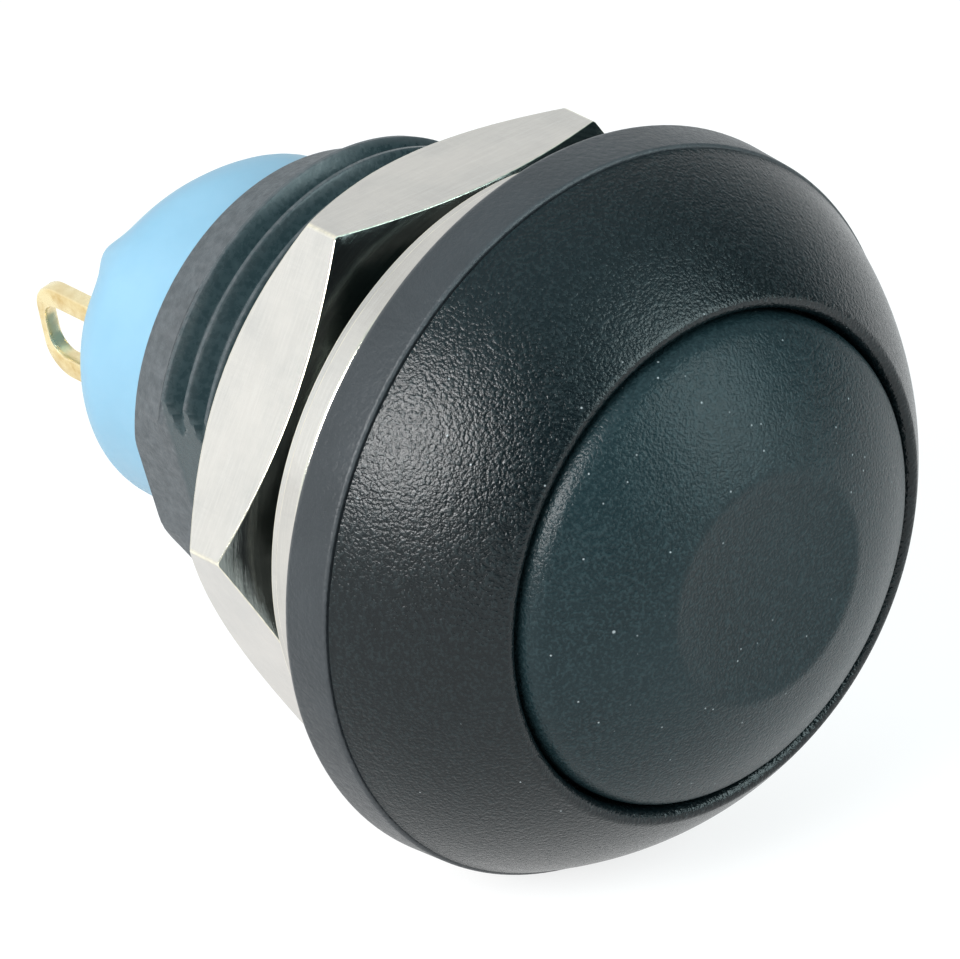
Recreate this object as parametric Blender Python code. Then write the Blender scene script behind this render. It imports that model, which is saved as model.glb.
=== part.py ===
"""A panel push button: a domed head that seals on the front of a panel, and a threaded barrel behind it.

The button's axis is Y. The panel's front face is the plane y = 0: the head stands out of it towards -Y,
and the barrel, the nut and the terminals lie on the +Y side. Numbers are millimetres until MM scales them.
"""

import math

import bmesh
import bpy
from mathutils import Matrix, Vector

MM = 0.001

# Clearances
SEAT_GAP = 0.05
SLOT_GAP = 0.03
THREAD_CLEARANCE = 0.10

# Head
HEAD_RADIUS = 8.98
RIM_FRONT_RADIUS = 8.90
RIM_THICKNESS = 1.34
RIM_FRONT_FILLET = 0.05
RIM_REAR_FILLET = 0.2
DOME_RADIUS = 9.57
DOME_CENTRE = 2.35
DOME_BASE_RADIUS = 8.83
DOME_BASE_CHAMFER = 0.05
LIP_FRONT = -4.80
LIP_DEPTH = 0.32
LIP_FLARE = 0.16
COLLAR_RADIUS = 7.0
COLLAR_FRONT = -3.0
CHAMBER_RADIUS = 6.5
CHAMBER_FLOOR = -0.8

# Button cap
CAP_RADIUS = 5.95
CAP_FACE_RADIUS = 9.50
CAP_FACE_CENTRE = 2.5
CAP_GUIDE_CLEARANCE = 0.10
CAP_FLANGE_RADIUS = 6.35
CAP_FLANGE_REAR = -2.5
CAP_WALL = 0.8
CAP_EDGE_INSET = 0.35
CAP_EDGE_STEPS = ((0.12, 0.1), (0.36, 0.0))
ROOF_CHAMFER = 0.6
DISH_RADIUS = 2.74
DISH_FLOOR = -6.45
DISH_EDGE = 0.1
DISH_SLOPE = ((0.0, -DISH_RADIUS), (0.02, -DISH_RADIUS / 2), (0.07, -0.25))
ROOF = -5.1
BOSS_RADIUS = 2.35
BOSS_END = -3.3

# Threaded barrel
THREAD_RADIUS = 6.0
THREAD_PITCH = 0.75
THREAD_DEPTH = 0.45
THREAD_START = 0.3
THREAD_CHAMFER_START = 7.9
THREAD_END = 8.25
THREAD_PHASE = 0.39
CREST_SHARE = 0.14
ROOT_SHARE = 0.17
BARREL_END = 9.34
BARREL_END_RADIUS = 5.22
TAIL_RADIUS = 5.5
BORE_RADIUS = 4.45
FLAT_DISTANCE = 5.05
FLAT_ANGLE = math.radians(198.0)
WEB_REAR = 1.9

# Stem, its seal and its springs
STEM_RADIUS = 1.5
STEM_BORE_RADIUS = 1.56
STEM_FRONT = -4.85
STEM_SHOULDER = 2.6
STEM_SHOULDER_FILLET = 0.08
STEM_END_FILLET = 0.2
PIN_RADIUS = 0.8
PIN_END = 5.0
SEAL_POCKET_RADIUS = 2.8
SEAL_POCKET_FLOOR = 0.9
SEAL_SECTION_RADIUS = 0.6
RETAINER_RADIUS = 4.2
RETAINER_THICKNESS = 0.35
RETAINER_FILLET = 0.1
RETAINER_CLEARANCE = 0.1
RETURN_SPRING_RADIUS = 3.2
RETURN_WIRE_RADIUS = 0.2
RETURN_TURNS = 5.0
CONTACT_SPRING_RADIUS = 1.2
CONTACT_WIRE_RADIUS = 0.14
CONTACT_TURNS = 3.5
COIL_GAP = 0.02

# Contacts and terminals
TERMINAL_ANGLE = math.radians(193.5)
BRIDGE_FRONT = 4.0
BRIDGE_THICKNESS = 0.3
BRIDGE_HALF_LENGTH = 4.0
BRIDGE_WIDTH = 1.8
BRIDGE_HOLE_CLEARANCE = 0.1
BRIDGE_END_FLAT = 0.05
PAD_RADIUS = 0.7
PAD_OFFSET = 3.2
PAD_FILLET = 0.06
PAD_GAP = 0.02
BRIDGE_PAD_THICKNESS = 0.2
CONTACT_TRAVEL = 1.0
CLIP_FRONT = 4.37
CLIP_THICKNESS = 0.26
CLIP_RADIUS = 1.3
CLIP_TURN = math.radians(290.0)
GROOVE_RADIUS = 0.55
GROOVE_CLEARANCE = 0.02
FOOT_FRONT = 6.3
SHEET_THICKNESS = 0.4
LUG_WIDTH = 2.6
LUG_OFFSET = 2.34
LUG_TIP = 15.8
LUG_CORNER = 0.8
EYE_WIDTH = 1.46
EYE_CORNER = 0.49
EYE_LENGTH = 2.5
EYE_MARGIN = 0.25
FOOT_REACH = 4.0
FOOT_WIDTH = 1.8
FOOT_OVERLAP = 0.3
BASE_THICKNESS = 1.75
BASE_RADIUS = 4.39
BASE_FILLET = 0.15
POTTING_END = 12.9
POTTING_EDGE = 1.1
POTTING_TAPER = 0.1
CUTTER_OVERRUN = 1.0

# Fasteners behind the panel
GASKET_OUTER_RADIUS = 7.3
RING_BORE_RADIUS = 6.15
GASKET_REAR = 1.0
GASKET_FILLET = 0.15
WASHER_OUTER_RADIUS = 7.7
WASHER_THICKNESS = 0.85
WASHER_FILLET = 0.12
NUT_ACROSS_FLATS = 13.9
NUT_ANGLE = math.radians(182.7)
NUT_FRONT = 2.6
NUT_REAR = 5.4
NUT_FRONT_FACE_RADIUS = 6.63
NUT_FRONT_SLOPE = 1.98
NUT_REAR_FACE_RADIUS = 6.67
NUT_REAR_SLOPE = 1.17
NUT_BORE_CHAMFER = 0.3

FINE = 48
MEDIUM = 36
COARSE = 24
TINY = 16
DOME_STEPS = 7
MERGE_DISTANCE = 1e-7
SMOOTH_ANGLE = math.radians(35.0)


# ---------------------------------------------------------------- materials

def finish(name, colour, roughness, metallic=0.0):
    """A Principled material with one colour, roughness and metallic value."""
    material = bpy.data.materials.new(name)
    material.use_nodes = True
    shader = material.node_tree.nodes["Principled BSDF"]
    shader.inputs["Base Color"].default_value = (*colour, 1.0)
    shader.inputs["Roughness"].default_value = roughness
    shader.inputs["Metallic"].default_value = metallic
    material.diffuse_color = (*colour, 1.0)
    return material


# ---------------------------------------------------------------- outlines of (depth, radius)

def rounded(corners, steps=3):
    """Turn corners of (depth, radius) or (depth, radius, fillet) into points, with an arc at each fillet."""
    points = []
    count = len(corners)
    for index, corner in enumerate(corners):
        here = Vector(corner[:2])
        fillet = corner[2] if len(corner) > 2 else 0.0
        if fillet == 0.0:
            points.append(tuple(here))
            continue
        before = (Vector(corners[index - 1][:2]) - here).normalized()
        after = (Vector(corners[(index + 1) % count][:2]) - here).normalized()
        half = before.angle(after) / 2.0
        centre = here + (before + after).normalized() * (fillet / math.sin(half))
        first = here + before * (fillet / math.tan(half)) - centre
        last = here + after * (fillet / math.tan(half)) - centre
        for step in range(steps + 1):
            spoke = first.lerp(last, step / steps).normalized() * fillet
            points.append(tuple(centre + spoke))
    return points


def rounded_rectangle(middle, half_length, half_width, fillet):
    """The loop of a rectangle with rounded corners, long in depth."""
    corners = []
    for along, across in ((-1, -1), (-1, 1), (1, 1), (1, -1)):
        corners.append((middle + along * half_length, across * half_width, fillet))
    return rounded(corners, steps=4)


def sphere_arc(centre, radius, start, end, steps):
    """Points on a sphere's outline between two depths, both included."""
    points = []
    for step in range(steps + 1):
        depth = start + (end - start) * step / steps
        points.append((depth, math.sqrt(radius ** 2 - (depth - centre) ** 2)))
    return points


# ---------------------------------------------------------------- solids

def place(name, mesh, material, parent=None):
    """Give a finished mesh its object, its material, its shading and its parent."""
    mesh.materials.append(material)
    mesh.shade_smooth()
    mesh.set_sharp_from_angle(angle=SMOOTH_ANGLE)
    solid = bpy.data.objects.new(name, mesh)
    bpy.context.collection.objects.link(solid)
    solid.parent = parent
    return solid


def mesh_from(bm, name):
    """Merge a bmesh's coincident points, face it outwards and store it as a mesh."""
    bmesh.ops.remove_doubles(bm, verts=bm.verts, dist=MERGE_DISTANCE)
    bmesh.ops.recalc_face_normals(bm, faces=bm.faces)
    mesh = bpy.data.meshes.new(name)
    bm.to_mesh(mesh)
    bm.free()
    return mesh


def ring_mesh(name, outline_at, columns, start=0.0, turn=math.tau):
    """Sweep a closed outline round the Y axis. outline_at(angle) gives it for each column, in mm."""
    bm = bmesh.new()
    rows = []
    for column in range(columns + 1):
        angle = start + turn * column / columns
        row = []
        for depth, radius in outline_at(angle):
            across = radius * MM
            row.append(bm.verts.new((across * math.cos(angle), depth * MM, across * math.sin(angle))))
        rows.append(row)
    for row, following in zip(rows, rows[1:]):
        for index in range(len(row)):
            nearer = index - 1
            bm.faces.new((row[nearer], row[index], following[index], following[nearer]))
    if turn < math.tau:
        bm.faces.new(rows[0])
        bm.faces.new(rows[-1])
    return mesh_from(bm, name)


def turned(name, corners, columns, material, parent=None):
    """A lathe-turned solid from the corners of its outline."""
    outline = rounded(corners)
    return place(name, ring_mesh(name, lambda angle: outline, columns), material, parent)


def plate_mesh(name, loops, thickness, centre):
    """A flat plate in the YZ plane from loops of (depth, width) points: its edge first, then any holes."""
    bm = bmesh.new()
    edges = []
    side = (centre - thickness / 2) * MM
    for loop in loops:
        verts = [bm.verts.new((side, depth * MM, width * MM)) for depth, width in loop]
        for index, vert in enumerate(verts):
            edges.append(bm.edges.new((verts[index - 1], vert)))
    bmesh.ops.triangle_fill(bm, edges=edges, use_beauty=True)
    sheet = bmesh.ops.extrude_face_region(bm, geom=bm.faces[:])
    lifted = [item for item in sheet["geom"] if isinstance(item, bmesh.types.BMVert)]
    bmesh.ops.translate(bm, verts=lifted, vec=(thickness * MM, 0, 0))
    return mesh_from(bm, name)


def box_object(name, low, high):
    """A plain box between two corners, used to build or cut another solid and left out of the model."""
    bm = bmesh.new()
    bmesh.ops.create_cube(bm, size=1.0)
    middle = (Vector(low) + Vector(high)) / 2 * MM
    size = (Vector(high) - Vector(low)) * MM
    placed = Matrix.Translation(middle) @ Matrix.Diagonal((*size, 1.0))
    bmesh.ops.transform(bm, matrix=placed, verts=bm.verts)
    solid = bpy.data.objects.new(name, mesh_from(bm, name))
    bpy.context.collection.objects.link(solid)
    solid.hide_render = True
    solid.display_type = 'WIRE'
    return solid


def combine(solid, helper, operation):
    """Cut a helper out of a solid, or join it on, with an exact Boolean."""
    boolean = solid.modifiers.new(helper.name, 'BOOLEAN')
    boolean.operation = operation
    boolean.object = helper


def coil(name, spring_radius, wire_radius, front, rear, turns, steps_per_turn, material, parent=None):
    """A compression spring between two depths, with a closed turn at each end."""
    first = front + wire_radius
    last = rear - wire_radius
    closed_rise = 2.0 * wire_radius + COIL_GAP
    open_turns = turns - 2.0
    open_rise = (last - first - 2.0 * closed_rise) / open_turns
    curve = bpy.data.curves.new(name, 'CURVE')
    curve.dimensions = '3D'
    curve.bevel_depth = wire_radius * MM
    curve.bevel_resolution = 1
    curve.use_fill_caps = True
    count = int(turns * steps_per_turn) + 1
    spline = curve.splines.new('POLY')
    spline.points.add(count - 1)
    for step in range(count):
        turn = step / steps_per_turn
        depth = first + closed_rise * min(turn, 1.0)
        depth += open_rise * min(max(turn - 1.0, 0.0), open_turns)
        depth += closed_rise * max(turn - 1.0 - open_turns, 0.0)
        across = spring_radius * math.cos(math.tau * turn)
        up = spring_radius * math.sin(math.tau * turn)
        spline.points[step].co = (across * MM, depth * MM, up * MM, 1.0)
    curve.materials.append(material)
    spring = bpy.data.objects.new(name, curve)
    bpy.context.collection.objects.link(spring)
    spring.parent = parent
    return spring


# ---------------------------------------------------------------- thread

def thread_radius(depth, angle):
    """The radius of the right-hand thread's surface at a depth and angle."""
    phase = (depth / THREAD_PITCH + angle / math.tau + THREAD_PHASE) % 1.0
    flank = (1.0 - CREST_SHARE - ROOT_SHARE) / 2.0
    if phase < CREST_SHARE:
        cut = 0.0
    elif phase < CREST_SHARE + flank:
        cut = (phase - CREST_SHARE) / flank
    elif phase < CREST_SHARE + flank + ROOT_SHARE:
        cut = 1.0
    else:
        cut = (1.0 - phase) / flank
    return THREAD_RADIUS - THREAD_DEPTH * cut


def chamfer_radius(depth):
    """The lead-in cone that cuts the thread down to the tail."""
    slope = (THREAD_RADIUS - TAIL_RADIUS) / (THREAD_END - THREAD_CHAMFER_START)
    return THREAD_RADIUS - slope * max(depth - THREAD_CHAMFER_START, 0.0)


def thread_points(start, end, angle):
    """Depths and radii of the thread between two depths, at every corner of its profile."""
    flank = (1.0 - CREST_SHARE - ROOT_SHARE) / 2.0
    corners = (0.0, CREST_SHARE, CREST_SHARE + flank, CREST_SHARE + flank + ROOT_SHARE)
    first = math.floor(start / THREAD_PITCH)
    last = math.ceil(end / THREAD_PITCH) + 2
    shift = angle / math.tau + THREAD_PHASE
    points = []
    for turn in range(first, last + 1):
        for corner in corners:
            depth = (turn + corner - shift) * THREAD_PITCH
            inside = min(max(depth, start), end)
            radius = thread_radius(inside, angle) if inside != depth else THREAD_RADIUS
            if inside == depth and corner in corners[2:]:
                radius = THREAD_RADIUS - THREAD_DEPTH
            points.append((inside, radius))
    return points


# ---------------------------------------------------------------- sub-parts

def threaded_body(material):
    """The moulded housing: rim, collar and chamber in front, threaded barrel and open bore behind."""
    rim = rounded([
        (COLLAR_FRONT, CHAMBER_RADIUS), (COLLAR_FRONT, COLLAR_RADIUS), (-RIM_THICKNESS, COLLAR_RADIUS),
        (-RIM_THICKNESS, RIM_FRONT_RADIUS, RIM_FRONT_FILLET), (0.0, HEAD_RADIUS, RIM_REAR_FILLET),
        (0.0, THREAD_RADIUS - THREAD_DEPTH),
    ])
    bore = [
        (BARREL_END, BORE_RADIUS), (WEB_REAR, BORE_RADIUS), (WEB_REAR, STEM_BORE_RADIUS),
        (SEAL_POCKET_FLOOR, STEM_BORE_RADIUS), (SEAL_POCKET_FLOOR, SEAL_POCKET_RADIUS),
        (CHAMBER_FLOOR, SEAL_POCKET_RADIUS), (CHAMBER_FLOOR, CHAMBER_RADIUS),
    ]

    def outline_at(angle):
        barrel = [(THREAD_START, THREAD_RADIUS - THREAD_DEPTH)]
        barrel += thread_points(THREAD_START, THREAD_END, angle)
        barrel = [(depth, min(radius, chamfer_radius(depth))) for depth, radius in barrel]
        barrel += [(THREAD_END, TAIL_RADIUS), (BARREL_END, BARREL_END_RADIUS)]
        across = abs(math.cos(angle - FLAT_ANGLE))
        limit = FLAT_DISTANCE / across if across * THREAD_RADIUS > FLAT_DISTANCE else THREAD_RADIUS
        barrel = [(depth, min(radius, limit)) for depth, radius in barrel]
        root = [(depth, min(radius, limit)) for depth, radius in rim[-1:]]
        return rim[:-1] + root + barrel + bore

    return place("threaded_body", ring_mesh("threaded_body", outline_at, MEDIUM), material)


def bezel_dome(material):
    """The domed ring that clips over the collar and holds the cap in."""
    hole = CAP_RADIUS + CAP_GUIDE_CLEARANCE
    base = -RIM_THICKNESS - SEAT_GAP
    shoulder = COLLAR_FRONT - SEAT_GAP
    dome = sphere_arc(DOME_CENTRE, DOME_RADIUS, base - DOME_BASE_CHAMFER, LIP_FRONT, DOME_STEPS)
    inside = [(LIP_FRONT + LIP_DEPTH, hole), (shoulder, hole), (shoulder, COLLAR_RADIUS + SEAT_GAP),
              (base, COLLAR_RADIUS + SEAT_GAP)]
    foot = [(base, DOME_BASE_RADIUS - DOME_BASE_CHAMFER)]
    outline = foot + dome + [(LIP_FRONT, hole + LIP_FLARE)] + inside
    return place("bezel_dome", ring_mesh("bezel_dome", lambda angle: outline, FINE), material)


def button_cap(material, parent):
    """The domed cap with a finger dish, a hollow underside, a retaining flange and a socket for the stem."""
    edge = CAP_FACE_CENTRE - math.sqrt(CAP_FACE_RADIUS ** 2 - (CAP_RADIUS - CAP_EDGE_INSET) ** 2)
    dish_edge = CAP_FACE_CENTRE - math.sqrt(CAP_FACE_RADIUS ** 2 - (DISH_RADIUS + DISH_EDGE) ** 2)
    inner = CAP_RADIUS - CAP_WALL
    face = [(DISH_FLOOR - rise, DISH_RADIUS + inset) for rise, inset in DISH_SLOPE]
    face += sphere_arc(CAP_FACE_CENTRE, CAP_FACE_RADIUS, dish_edge, edge, 4)
    skirt = [(edge + depth, CAP_RADIUS - inset) for depth, inset in CAP_EDGE_STEPS]
    skirt += [(COLLAR_FRONT, CAP_RADIUS), (COLLAR_FRONT, CAP_FLANGE_RADIUS),
              (CAP_FLANGE_REAR, CAP_FLANGE_RADIUS)]
    under = [(CAP_FLANGE_REAR, inner), (ROOF + ROOF_CHAMFER, inner), (ROOF, inner - ROOF_CHAMFER),
             (ROOF, BOSS_RADIUS)]
    socket = [(BOSS_END, BOSS_RADIUS), (BOSS_END, STEM_RADIUS + SEAT_GAP),
              (STEM_FRONT - SEAT_GAP, STEM_RADIUS + SEAT_GAP), (STEM_FRONT - SEAT_GAP, 0.0)]
    outline = face + skirt + under + socket
    return place("button_cap", ring_mesh("button_cap", lambda angle: outline, FINE), material, parent)


def plunger_stem(material, parent):
    """The stem: a smooth shank through the seal, a shoulder, and a pin with a clip groove."""
    groove_rear = CLIP_FRONT + CLIP_THICKNESS + GROOVE_CLEARANCE
    groove_front = CLIP_FRONT - GROOVE_CLEARANCE
    return turned("plunger_stem", [
        (STEM_FRONT, 0.0), (STEM_FRONT, STEM_RADIUS, STEM_END_FILLET),
        (STEM_SHOULDER, STEM_RADIUS, STEM_SHOULDER_FILLET),
        (STEM_SHOULDER, PIN_RADIUS), (groove_front, PIN_RADIUS), (groove_front, GROOVE_RADIUS),
        (groove_rear, GROOVE_RADIUS), (groove_rear, PIN_RADIUS), (PIN_END, PIN_RADIUS, STEM_END_FILLET),
        (PIN_END, 0.0),
    ], COARSE, material, parent)


def stem_seal(material):
    """The O-ring that seals the stem in its pocket."""
    middle = (STEM_RADIUS + SEAL_POCKET_RADIUS) / 2
    depth = SEAL_POCKET_FLOOR - SEAT_GAP - SEAL_SECTION_RADIUS
    outline = []
    points = 10
    for step in range(points):
        turn = math.tau * step / points
        outline.append((depth + SEAL_SECTION_RADIUS * math.sin(turn),
                        middle + SEAL_SECTION_RADIUS * math.cos(turn)))
    return place("stem_seal", ring_mesh("stem_seal", lambda angle: outline, COARSE), material)


def seal_retainer(material):
    """The flanged ring that closes the seal pocket and seats the return spring."""
    rear = CHAMBER_FLOOR - SEAT_GAP
    plug_end = SEAL_POCKET_FLOOR - 2 * SEAT_GAP - 2 * SEAL_SECTION_RADIUS
    inner = STEM_RADIUS + RETAINER_CLEARANCE
    return turned("seal_retainer", [
        (rear - RETAINER_THICKNESS, inner), (rear - RETAINER_THICKNESS, RETAINER_RADIUS, RETAINER_FILLET),
        (rear, RETAINER_RADIUS), (rear, SEAL_POCKET_RADIUS - SEAT_GAP),
        (plug_end, SEAL_POCKET_RADIUS - SEAT_GAP), (plug_end, inner),
    ], COARSE, material)


def stem_clip(material, parent):
    """The open retaining ring that keeps the contact bridge on the stem's pin."""
    rear = CLIP_FRONT + CLIP_THICKNESS
    inner = GROOVE_RADIUS + SEAT_GAP
    outline = [(CLIP_FRONT, inner), (CLIP_FRONT, CLIP_RADIUS), (rear, CLIP_RADIUS), (rear, inner)]
    mesh = ring_mesh("stem_clip", lambda angle: outline, TINY, turn=CLIP_TURN)
    return place("stem_clip", mesh, material, parent)


def contact_bridge(material, parent):
    """The sprung copper strip that joins the two fixed contacts when the button is pressed."""
    half_width = BRIDGE_WIDTH / 2
    edge = rounded_rectangle(0.0, BRIDGE_HALF_LENGTH, half_width, half_width - BRIDGE_END_FLAT)
    half_hole = PIN_RADIUS + BRIDGE_HOLE_CLEARANCE
    hole = rounded_rectangle(0.0, half_hole, half_hole, PIN_RADIUS)
    mesh = plate_mesh("contact_bridge", [edge, hole], BRIDGE_THICKNESS, BRIDGE_FRONT + BRIDGE_THICKNESS / 2)
    mesh.transform(Matrix.Rotation(math.pi / 2, 4, 'Z'))
    bridge = place("contact_bridge", mesh, material, parent)
    bridge.rotation_euler = (0, -TERMINAL_ANGLE, 0)
    return bridge


def contact_pad(name, side, front, thickness, material, parent=None):
    """A round contact rivet, on the side of the axis that side says."""
    pad = turned(name, [
        (front, 0.0), (front, PAD_RADIUS, PAD_FILLET), (front + thickness, PAD_RADIUS, PAD_FILLET),
        (front + thickness, 0.0),
    ], TINY, material, parent)
    pad.location = (side * PAD_OFFSET * MM * math.cos(TERMINAL_ANGLE), 0,
                    side * PAD_OFFSET * MM * math.sin(TERMINAL_ANGLE))
    return pad


def terminal(name, side, material):
    """A stamped terminal: a foot under its fixed contact, and a blade that ends in a solder eye."""
    half = LUG_WIDTH / 2
    blade = rounded([(FOOT_FRONT, -half), (LUG_TIP, -half, LUG_CORNER), (LUG_TIP, half, LUG_CORNER),
                     (FOOT_FRONT, half)], steps=5)
    eye = rounded_rectangle(LUG_TIP - EYE_MARGIN - EYE_LENGTH / 2, EYE_LENGTH / 2, EYE_WIDTH / 2, EYE_CORNER)
    mesh = plate_mesh(name, [blade, eye], SHEET_THICKNESS, LUG_OFFSET)
    lug = place(name, mesh, material)
    outer = LUG_OFFSET + SHEET_THICKNESS / 2
    foot = box_object(name + "_foot", (outer - FOOT_OVERLAP, FOOT_FRONT, -FOOT_WIDTH / 2),
                      (FOOT_REACH, FOOT_FRONT + SHEET_THICKNESS, FOOT_WIDTH / 2))
    foot.parent = lug
    combine(lug, foot, 'UNION')
    lug.rotation_euler = (0, -TERMINAL_ANGLE - (0 if side == 1 else math.pi), 0)
    return lug


def cut_blade_slots(solid, front, rear):
    """Open a slot for each terminal's blade through a solid between two depths."""
    half = LUG_WIDTH / 2 + SLOT_GAP
    thick = SHEET_THICKNESS / 2 + SLOT_GAP
    for side in (1, -1):
        middle = side * LUG_OFFSET
        slot = box_object(solid.name + "_slot", (middle - thick, front - CUTTER_OVERRUN, -half),
                          (middle + thick, rear + CUTTER_OVERRUN, half))
        slot.rotation_euler = (0, -TERMINAL_ANGLE, 0)
        combine(solid, slot, 'DIFFERENCE')


def terminal_base(material):
    """The insulating disc that the terminals stand in."""
    front = FOOT_FRONT + SHEET_THICKNESS + SEAT_GAP
    rear = front + BASE_THICKNESS
    base = turned("terminal_base", [
        (front, 0.0), (front, BASE_RADIUS, BASE_FILLET), (rear, BASE_RADIUS), (rear, 0.0),
    ], MEDIUM, material)
    cut_blade_slots(base, front, rear)
    return base


def potting_plug(material):
    """The cast resin plug that seals the barrel's bore round the terminals."""
    front = FOOT_FRONT + SHEET_THICKNESS + 2 * SEAT_GAP + BASE_THICKNESS
    radius = BORE_RADIUS - SEAT_GAP
    plug = turned("potting_plug", [
        (front, 0.0), (front, radius), (POTTING_END, radius - POTTING_TAPER, POTTING_EDGE),
        (POTTING_END, 0.0),
    ], MEDIUM, material)
    cut_blade_slots(plug, front, POTTING_END)
    return plug


def panel_gasket(material):
    """The flat rubber ring that seals the head on the panel."""
    return turned("panel_gasket", [
        (SEAT_GAP, RING_BORE_RADIUS), (SEAT_GAP, GASKET_OUTER_RADIUS, GASKET_FILLET),
        (GASKET_REAR, GASKET_OUTER_RADIUS, GASKET_FILLET), (GASKET_REAR, RING_BORE_RADIUS),
    ], MEDIUM, material)


def flat_washer(material, parent):
    """The plated washer between the nut and the panel."""
    front = GASKET_REAR + SEAT_GAP
    rear = front + WASHER_THICKNESS
    return turned("flat_washer", [
        (front, RING_BORE_RADIUS), (front, WASHER_OUTER_RADIUS, WASHER_FILLET),
        (rear, WASHER_OUTER_RADIUS, WASHER_FILLET), (rear, RING_BORE_RADIUS),
    ], MEDIUM, material, parent)


def hex_nut(material, parent):
    """The plated nut: six flats cut back by a cone at each end, and a threaded bore."""
    apothem = NUT_ACROSS_FLATS / 2

    def outline_at(angle):
        from_corner = (angle - NUT_ANGLE) % math.radians(60.0)
        across = apothem / math.cos(from_corner - math.radians(30.0))
        front_edge = NUT_FRONT + (across - NUT_FRONT_FACE_RADIUS) / NUT_FRONT_SLOPE
        rear_edge = NUT_REAR - (across - NUT_REAR_FACE_RADIUS) / NUT_REAR_SLOPE
        outside = [(NUT_FRONT, NUT_FRONT_FACE_RADIUS), (front_edge, across), (rear_edge, across),
                   (NUT_REAR, NUT_REAR_FACE_RADIUS)]
        bore = []
        for depth, radius in thread_points(NUT_FRONT, NUT_REAR, angle):
            nearest_face = min(depth - NUT_FRONT, NUT_REAR - depth)
            chamfer = THREAD_RADIUS + NUT_BORE_CHAMFER - nearest_face
            bore.append((depth, max(radius + THREAD_CLEARANCE, chamfer)))
        return outside + bore[::-1]

    return place("hex_nut", ring_mesh("hex_nut", outline_at, MEDIUM, NUT_ANGLE), material, parent)


# ---------------------------------------------------------------- assembly

def clear_scene():
    """Remove whatever the start-up file holds."""
    for item in list(bpy.data.objects):
        bpy.data.objects.remove(item)


def group(name):
    """An empty on the button's axis that carries the pieces that move together."""
    empty = bpy.data.objects.new(name, None)
    bpy.context.collection.objects.link(empty)
    return empty


def build():
    """Model every sub-part in its rest position."""
    nylon = finish("black_nylon", (0.022, 0.024, 0.027), 0.5)
    dome = finish("textured_black_nylon", (0.016, 0.018, 0.019), 0.55)
    cap = finish("satin_black_nylon", (0.022, 0.030, 0.033), 0.6)
    acetal = finish("white_acetal", (0.80, 0.79, 0.74), 0.4)
    rubber = finish("black_rubber", (0.02, 0.02, 0.02), 0.8)
    steel = finish("spring_steel", (0.55, 0.55, 0.57), 0.3, 1.0)
    nickel = finish("nickel_plate", (0.72, 0.71, 0.68), 0.25, 1.0)
    copper = finish("copper_strip", (0.75, 0.42, 0.27), 0.35, 1.0)
    silver = finish("silver_contact", (0.85, 0.84, 0.80), 0.3, 1.0)
    gold = finish("gold_plate", (0.83, 0.67, 0.33), 0.25, 1.0)
    phenolic = finish("brown_phenolic", (0.16, 0.09, 0.05), 0.6)
    resin = finish("blue_resin", (0.33, 0.66, 0.90), 0.45)

    plunger = group("plunger")
    moving_contact = group("moving_contact")
    fastener = group("fastener")

    threaded_body(nylon)
    bezel_dome(dome)
    button_cap(cap, plunger)
    plunger_stem(acetal, plunger)
    stem_clip(steel, plunger)
    stem_seal(rubber)
    seal_retainer(nylon)
    coil("return_spring", RETURN_SPRING_RADIUS, RETURN_WIRE_RADIUS, ROOF + SEAT_GAP,
         CHAMBER_FLOOR - RETAINER_THICKNESS - 2 * SEAT_GAP, RETURN_TURNS, 12, steel)
    coil("contact_spring", CONTACT_SPRING_RADIUS, CONTACT_WIRE_RADIUS, STEM_SHOULDER + SEAT_GAP,
         BRIDGE_FRONT - SEAT_GAP, CONTACT_TURNS, 10, steel, moving_contact)
    contact_bridge(copper, moving_contact)
    bridge_pad_front = BRIDGE_FRONT + BRIDGE_THICKNESS + PAD_GAP
    fixed_pad_front = bridge_pad_front + BRIDGE_PAD_THICKNESS + CONTACT_TRAVEL + SEAT_GAP
    fixed_pad_thickness = FOOT_FRONT - SEAT_GAP - fixed_pad_front
    for suffix, side in (("left", 1), ("right", -1)):
        contact_pad("bridge_pad_" + suffix, side, bridge_pad_front, BRIDGE_PAD_THICKNESS, silver,
                    moving_contact)
        contact_pad("fixed_pad_" + suffix, side, fixed_pad_front, fixed_pad_thickness, silver)
        terminal("terminal_" + suffix, side, gold)
    terminal_base(phenolic)
    potting_plug(resin)
    panel_gasket(rubber)
    flat_washer(nickel, fastener)
    hex_nut(nickel, fastener)


clear_scene()
build()
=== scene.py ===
"""The looks of a panel push button: fine meshes with procedural finishes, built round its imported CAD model.

The button's axis is Y. The panel's front face is the plane y = 0, the head stands out of it towards -Y,
and the barrel, the nut and the terminals lie on the +Y side. Lengths are millimetres until MM scales them.
"""

import math

import bmesh
import bpy
from mathutils import Matrix, Vector


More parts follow.
